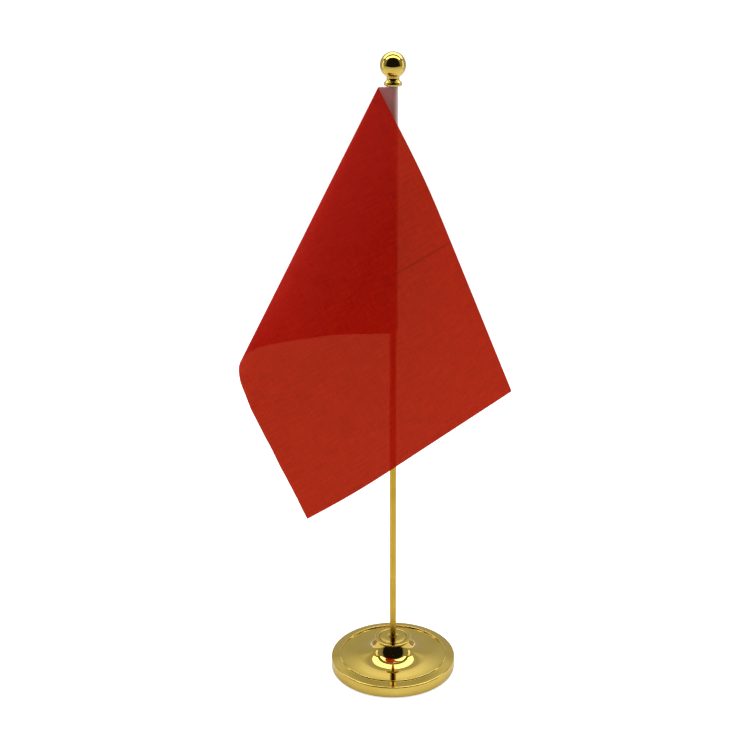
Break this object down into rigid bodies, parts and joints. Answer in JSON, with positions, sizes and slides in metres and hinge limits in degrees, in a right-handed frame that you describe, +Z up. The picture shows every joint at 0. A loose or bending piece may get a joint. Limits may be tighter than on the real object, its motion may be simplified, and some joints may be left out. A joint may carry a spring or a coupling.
{
  "type": "desk flag stand",
  "caption": "Small cloth flag rolled over on a thin gold pole with a ball finial, standing in a round gold base with a trumpet-shaped hub.",
  "frame": {"origin": "centre of the foam pad's underside, where the stand rests on the table", "axes": "+Z up along the pole, -Y towards the front, where the flag's fly hangs in front of the pole"},
  "size_m": [0.1548, 0.115, 0.3799],
  "materials": {
    "gold_plate": "polished gold plating",
    "pole_gold": "satin gold plating",
    "brass": "turned brass",
    "zinc_steel": "zinc-plated steel",
    "cast_iron": "rough cast",
    "black_foam": "closed-cell foam",
    "red_cloth": "thin plain-weave polyester",
    "white_tape": "thin woven tape",
    "white_thread": "twisted sewing thread"
  },
  "bodies": {
    "base": {"base_shell": "gold_plate", "ballast_disc": "cast_iron", "socket_bushing": "gold_plate", "bushing_washer": "zinc_steel", "bushing_nut": "brass", "base_pad": "black_foam"},
    "pole": {"pole_tube": "pole_gold", "pole_foot_stud": "brass", "pole_head_stud": "brass"},
    "finial": {"finial_ball": "gold_plate", "finial_insert": "brass"},
    "flag": {"flag_cloth": "red_cloth", "flag_sleeve": "white_tape", "sleeve_top_tab": "white_tape", "sleeve_seam_thread": "white_thread"}
  },
  "joints": [
    {"name": "pole_lift", "type": "slide", "parent": "base", "child": "pole", "axis": [0, 0, 1], "range_m": [0, 0.018]},
    {"name": "finial_lift", "type": "slide", "parent": "pole", "child": "finial", "axis": [0, 0, 1], "range_m": [0, 0.008]},
    {"name": "flag_swivel", "type": "hinge", "parent": "pole", "child": "flag", "pos_m": [0, 0, 0.3], "axis": [0, 0, 1], "continuous": true}
  ]
}
